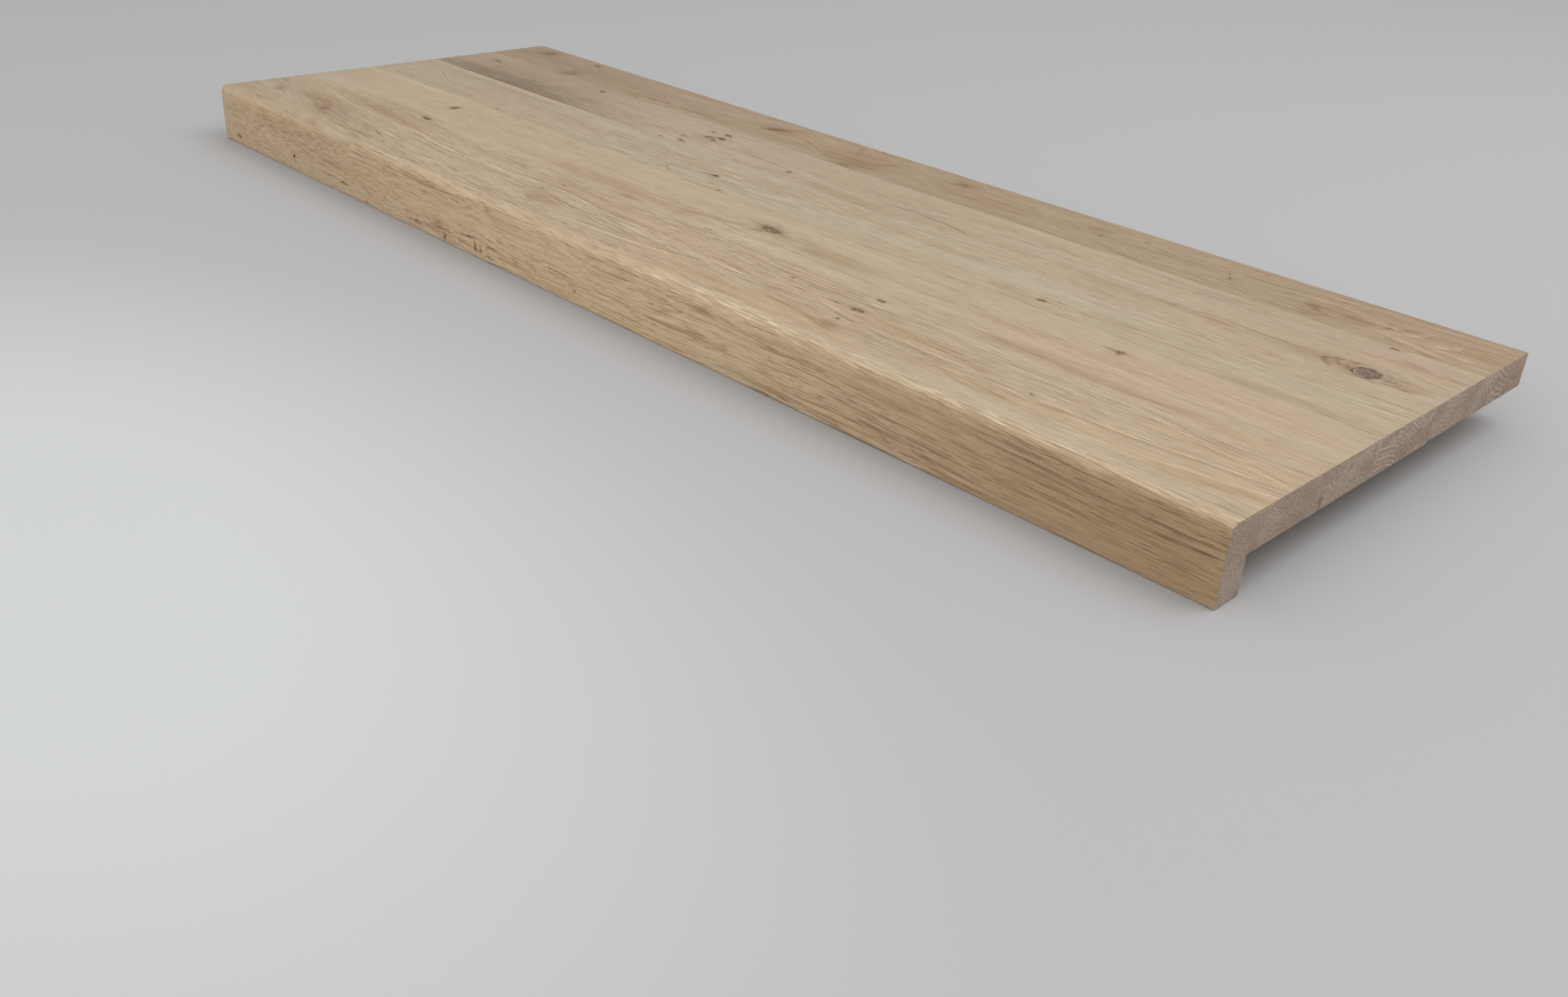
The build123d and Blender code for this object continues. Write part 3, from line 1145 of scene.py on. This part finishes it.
def stations(stave, sizes):
    """Places along a stave, each with the share of the arris it is eased by."""
    arris = sizes.arris / MM
    spots = [(k.along, k.length + PAST_KNOT) for k in stave.knots if k.hollow]
    inner = spread(arris, LENGTH - arris, STEP_ALONG, [*spots, (LENGTH, END_REACH)])
    turns = [math.radians(degrees) for degrees in END_ARC]
    arc = [(arris * (1 - math.cos(turn)), 1 - math.sin(turn)) for turn in turns]
    return (
        arc
        + [(place, 0.0) for place in inner]
        + [(LENGTH - place, ease) for place, ease in reversed(arc)]
    )


def stave_plan(stave, points, sizes):
    """A wire mesh that holds the section and the stations, for the tree."""
    places = stations(stave, sizes)
    mesh = bpy.data.meshes.new(f"{stave.node}_plan")
    wire = [Vector((0, p.place.y * MM, p.place.z * MM)) for p in points]
    line = [Vector((place * MM, 0, 0)) for place, ease in places]
    edges = [(i, (i + 1) % len(points)) for i in range(len(points))]
    edges += [(len(points) + i, len(points) + i + 1) for i in range(len(places) - 1)]
    mesh.from_pydata(wire + line, edges, [])
    rows = {
        "section": ("FLOAT_VECTOR", wire + [Vector()] * len(line)),
        "inward": ("FLOAT_VECTOR", [p.inward for p in points] + [Vector()] * len(line)),
        "station": ("FLOAT", [0.0] * len(wire) + [spot.x for spot in line]),
        "eased": ("FLOAT", [0.0] * len(wire) + [ease for place, ease in places]),
        "is_station": ("BOOLEAN", [False] * len(wire) + [True] * len(line)),
    }
    for name, (kind, values) in rows.items():
        layer = mesh.attributes.new(name, kind, "POINT")
        for item, value in zip(layer.data, values):
            setattr(item, "vector" if kind == "FLOAT_VECTOR" else "value", value)
    return bpy.data.objects.new(f"{stave.node}_wood", mesh)


def column(recipe, name, kind):
    """A row of numbers that the plan holds, one for each point."""
    return recipe.node("GeometryNodeInputNamedAttribute", {"data_type": kind}, {"Name": name})


def without(recipe, geometry, *names):
    """Geometry that no longer holds the named rows."""
    for name in names:
        values = {"Geometry": geometry, "Name": name}
        geometry = recipe.node("GeometryNodeRemoveAttribute", {}, values)
    return geometry


def run_along(recipe, plan, arris):
    """Runs the section of the plan along its stations, smaller where they are eased."""
    is_station = column(recipe, "is_station", "BOOLEAN")
    parts = recipe.node(
        "GeometryNodeSeparateGeometry", {"domain": "POINT"},
        {"Geometry": plan, "Selection": is_station}, out=None,
    )
    path, ring = (
        recipe.node("GeometryNodeMeshToCurve", {}, {"Mesh": Value(recipe, parts.outputs[i])})
        for i in (0, 1)
    )
    path = without(recipe, path, "section", "inward", "is_station")
    ring = without(recipe, ring, "station", "eased", "is_station")
    body = recipe.node(
        "GeometryNodeCurveToMesh", {},
        {"Curve": path, "Profile Curve": ring, "Fill Caps": True},
    )
    forward = column(recipe, "station", "FLOAT")
    station = recipe.node("ShaderNodeCombineXYZ", {}, [forward, 0.0, 0.0])
    eased = column(recipe, "eased", "FLOAT") * arris
    inset = column(recipe, "inward", "FLOAT_VECTOR") * eased
    shaped = column(recipe, "section", "FLOAT_VECTOR") + station + inset + LOW
    return recipe.node("GeometryNodeSetPosition", {}, {"Geometry": body, "Position": shaped})


def sink_knots(recipe, body, stave, depth):
    """Sinks the hollow knots into the top and into the face of the nose."""
    place = (recipe.node("GeometryNodeInputPosition") - LOW) / MM
    y, z = recipe.parts(place)[1:]
    rough = roughened(recipe, place)
    crumbs = crumbly(recipe, place, stave.seed, 1.0, 0.45)
    faces = {
        "top": (z.rise(TOP - 2 * SKIN, TOP - SKIN), (0, 0, -MM)),
        "front": (y.rise(2 * SKIN, SKIN), (0, MM, 0)),
    }
    for face, (on_face, inwards) in faces.items():
        sunk = 0.0
        for knot in stave.knots:
            if knot.hollow and knot.face == face:
                gap = own_place(recipe, rough, knot).long()
                sunk = gap.rise(1.05, 0.45, 0.0, knot.hollow).most(sunk)
        if isinstance(sunk, Value):
            move = (sunk * on_face * crumbs) * inwards * depth
            values = {"Geometry": body, "Offset": move}
            body = recipe.node("GeometryNodeSetPosition", {}, values)
    return body


def stave_tree(stave):
    """Geometry nodes that make a stave's body from its plan."""
    tree = bpy.data.node_groups.new(f"{stave.node}_body", "GeometryNodeTree")
    for name, kind, side in (
        ("Plan", "NodeSocketGeometry", "INPUT"),
        ("Arris", "NodeSocketFloat", "INPUT"),
        ("Hollow depth", "NodeSocketFloat", "INPUT"),
        ("Oak", "NodeSocketMaterial", "INPUT"),
        ("Body", "NodeSocketGeometry", "OUTPUT"),
    ):
        tree.interface.new_socket(name, in_out=side, socket_type=kind)
    recipe = Recipe(tree)
    given = recipe.node("NodeGroupInput", out=None)
    plan, arris, depth, finish = (Value(recipe, given.outputs[i]) for i in range(4))
    body = run_along(recipe, plan, arris)
    body = sink_knots(recipe, body, stave, depth)
    body = without(recipe, body, "section", "inward", "station", "eased")
    body = recipe.node("GeometryNodeRealizeInstances", {}, {"Geometry": body})
    body = recipe.node("GeometryNodeSetMaterial", {}, {"Geometry": body, "Material": finish})
    recipe.node("NodeGroupOutput", {}, {"Body": body}, out=None)
    return tree


def make_stave(context, stave):
    """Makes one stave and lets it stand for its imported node."""
    sizes, look = context.scene.tread_sizes, context.scene.tread_oak
    section = nose_section if stave.node == "front_stave" else panel_section
    piece = stave_plan(stave, outline(section(stave, sizes)), sizes)
    context.scene.collection.objects.link(piece)
    tree = stave_tree(stave)
    modifier = piece.modifiers.new("body", "NODES")
    modifier.node_group = tree
    given = {"Arris": sizes.arris, "Hollow depth": sizes.hollow, "Oak": oak(stave, look)}
    for item in tree.interface.items_tree:
        if item.name in given:
            modifier[item.identifier] = given[item.name]
    evaluated = piece.evaluated_get(context.evaluated_depsgraph_get())
    mesh = bpy.data.meshes.new_from_object(evaluated)
    piece.modifiers.clear()
    plan, piece.data = piece.data, mesh
    bpy.data.meshes.remove(plan)
    bpy.data.node_groups.remove(tree)
    mesh.name = f"{stave.node}_wood"
    tidy_normals(mesh)
    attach(piece, "root")
    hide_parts(stave.node)


def tidy_normals(mesh):
    """Turns the faces outwards and keeps the arrises crisp."""
    work = bmesh.new()
    work.from_mesh(mesh)
    bmesh.ops.remove_doubles(work, verts=work.verts, dist=MERGE)
    bmesh.ops.recalc_face_normals(work, faces=work.faces)
    if work.calc_volume(signed=True) < 0:
        bmesh.ops.reverse_faces(work, faces=work.faces)
    work.to_mesh(mesh)
    work.free()
    mesh.shade_smooth()
    mesh.set_sharp_from_angle(angle=math.radians(SHARP_FROM))


# Studio

EYE = Vector((0.66598, -0.64972, 0.31771))
VIEW_AZIMUTH, VIEW_ELEVATION, VIEW_ROLL = 43.868, 28.160, 3.775  # degrees
SENSOR_WIDTH = 36.0
NEAREST, FARTHEST = 0.01, 60.0
KEY_PLACE, KEY_SIZE = (1.1, 0.9, 2.2), 2.0
FILL_PLACE, FILL_SIZE = (0.3, -2.3, 1.2), 1.6
FLOOR_RADIUS = 9.0
FLOOR_GAP = 0.0002  # keeps the floor from touching the nose
FLOOR_CLOUDS = (700, 700, 700)
# Centre of the pool of light painted on the floor
PAINTED_LIGHT_POOL = (0.1, -0.5, 0.0)  # where the floor is palest


def make_camera(context, studio):
    """Puts the camera where the photo was taken from."""
    data = bpy.data.cameras.new("camera")
    data.lens = studio.lens
    data.sensor_width = SENSOR_WIDTH
    data.clip_start, data.clip_end = NEAREST, FARTHEST
    camera = bpy.data.objects.new("camera", data)
    azimuth, elevation, roll = (math.radians(a) for a in (VIEW_AZIMUTH, VIEW_ELEVATION, VIEW_ROLL))
    forward = Vector((
        -math.sin(azimuth) * math.cos(elevation),
        math.cos(azimuth) * math.cos(elevation),
        -math.sin(elevation),
    ))
    level = forward.cross(Vector((0, 0, 1))).normalized()
    upright = level.cross(forward)
    right = level * math.cos(roll) + upright * math.sin(roll)
    up = right.cross(forward)
    turn = Matrix((right, up, -forward)).transposed().to_4x4()
    camera.matrix_world = Matrix.Translation(EYE) @ turn
    context.scene.collection.objects.link(camera)
    context.scene.camera = camera


def make_lamp(context, name, power, size, place):
    """A round soft lamp that points at the middle of the floor."""
    data = bpy.data.lights.new(name, "AREA")
    data.shape = "DISK"
    data.size = size
    data.energy = power
    lamp = bpy.data.objects.new(name, data)
    lamp.location = place
    lamp.rotation_mode = "QUATERNION"
    lamp.rotation_quaternion = (-Vector(place)).to_track_quat("-Z", "Y")
    context.scene.collection.objects.link(lamp)


def make_floor(context, studio):
    """A wide round floor, which doesn't show from below, with a pool of light painted on it:
    palest near the tread and shaded further off.
    """
    mesh = bpy.data.meshes.new("floor")
    work = bmesh.new()
    bmesh.ops.create_circle(work, cap_ends=True, segments=96, radius=FLOOR_RADIUS)
    bmesh.ops.translate(work, verts=work.verts, vec=(0, 0, LOW.z - FLOOR_GAP))
    work.to_mesh(mesh)
    work.free()
    floor = bpy.data.objects.new("floor", mesh)
    context.scene.collection.objects.link(floor)
    material, recipe = new_material("floor")
    spot = recipe.node("ShaderNodeTexCoord", out="Object")
    cloud = recipe.noise(spot / MM, FLOOR_CLOUDS, 1.0, 3.0)
    # Painted light: the floor grows darker away from the painted pool of light
    away = ((spot - PAINTED_LIGHT_POOL) * (1, 1.6, 0)).long().rise(0.1, 0.5, 0.0, 0.98)
    shade = recipe.mix(tuple(studio.floor), tuple(studio.far_floor_painted_shade), away + cloud * 0.04)
    paper = recipe.node(
        "ShaderNodeBsdfPrincipled", {},
        {"Base Color": shade, "Roughness": 0.75, "Specular IOR Level": 0.2},
    )
    under = recipe.node("ShaderNodeNewGeometry", out="Backfacing")
    open_air = recipe.node("ShaderNodeBsdfTransparent")
    surface = recipe.node("ShaderNodeMixShader", {}, [under, paper, open_air])
    recipe.node("ShaderNodeOutputMaterial", {}, {"Surface": surface}, out=None)
    mesh.materials.append(material)


def make_world(context, studio):
    """Even white light, and a plain shade where the surround is seen."""
    world = bpy.data.worlds.new("surround")
    world.use_nodes = True
    world.node_tree.nodes.clear()
    recipe = Recipe(world.node_tree)
    light = recipe.node(
        "ShaderNodeBackground", {}, {"Color": (1.0, 1.0, 1.0), "Strength": studio.daylight}
    )
    shown = recipe.node(
        "ShaderNodeBackground", {}, {"Color": tuple(studio.surround), "Strength": 1.0}
    )
    seen = recipe.node("ShaderNodeLightPath", out=None)
    direct, glossy, clear = (
        Value(recipe, named(seen.outputs, f"Is {kind} Ray"))
        for kind in ("Camera", "Glossy", "Transmission")
    )
    surface = recipe.node(
        "ShaderNodeMixShader", {}, [direct.most(glossy).most(clear), light, shown]
    )
    recipe.node("ShaderNodeOutputWorld", {}, {"Surface": surface}, out=None)
    context.scene.world = world


# Operators and panel


class TREAD_OT_front_stave(bpy.types.Operator):
    """Make the front stave, with the nose turned down from it"""

    bl_idname = "tread.front_stave"
    bl_label = "Front stave"

    def execute(self, context):
        make_stave(context, STAVES[0])
        return {"FINISHED"}


class TREAD_OT_middle_staves(bpy.types.Operator):
    """Make the three staves of the middle of the panel"""

    bl_idname = "tread.middle_staves"
    bl_label = "Middle staves"

    def execute(self, context):
        for stave in STAVES[1:-1]:
            make_stave(context, stave)
        return {"FINISHED"}


class TREAD_OT_rear_stave(bpy.types.Operator):
    """Make the rear stave, ripped to what is left of the depth"""

    bl_idname = "tread.rear_stave"
    bl_label = "Rear stave"

    def execute(self, context):
        make_stave(context, STAVES[-1])
        return {"FINISHED"}


class TREAD_OT_stage(bpy.types.Operator):
    """Make the floor, the light and the camera"""

    bl_idname = "tread.stage"
    bl_label = "Stage"

    def execute(self, context):
        studio = context.scene.tread_studio
        make_camera(context, studio)
        make_floor(context, studio)
        make_world(context, studio)
        make_lamp(context, "key", studio.key, KEY_SIZE, KEY_PLACE)
        make_lamp(context, "fill", studio.fill, FILL_SIZE, FILL_PLACE)
        context.scene.view_settings.view_transform = "Standard"
        return {"FINISHED"}


class TREAD_PT_panel(bpy.types.Panel):
    """Everything that makes the tread"""

    bl_idname = "TREAD_PT_panel"
    bl_label = "Oak tread overlay"
    bl_space_type = "VIEW_3D"
    bl_region_type = "UI"
    bl_category = "Tread"

    def draw(self, context):
        for group in ("tread_sizes", "tread_oak", "tread_studio"):
            settings = getattr(context.scene, group)
            box = self.layout.box()
            for name in settings.bl_rna.properties.keys():
                if name not in ("rna_type", "name"):
                    box.prop(settings, name)
        for step in STEPS:
            self.layout.operator(step.bl_idname)


STEPS = (TREAD_OT_stage, TREAD_OT_front_stave, TREAD_OT_middle_staves, TREAD_OT_rear_stave)
CLASSES = (TreadSizes, TreadOak, TreadStudio, *STEPS, TREAD_PT_panel)


def register():
    for made in CLASSES:
        bpy.utils.register_class(made)
    bpy.types.Scene.tread_sizes = PointerProperty(type=TreadSizes)
    bpy.types.Scene.tread_oak = PointerProperty(type=TreadOak)
    bpy.types.Scene.tread_studio = PointerProperty(type=TreadStudio)


def unregister():
    for group in ("tread_sizes", "tread_oak", "tread_studio"):
        delattr(bpy.types.Scene, group)
    for made in reversed(CLASSES):
        bpy.utils.unregister_class(made)


def main():
    register()
    bpy.ops.tread.stage()
    bpy.ops.tread.front_stave()
    bpy.ops.tread.middle_staves()
    bpy.ops.tread.rear_stave()


if __name__ == "__main__":
    main()
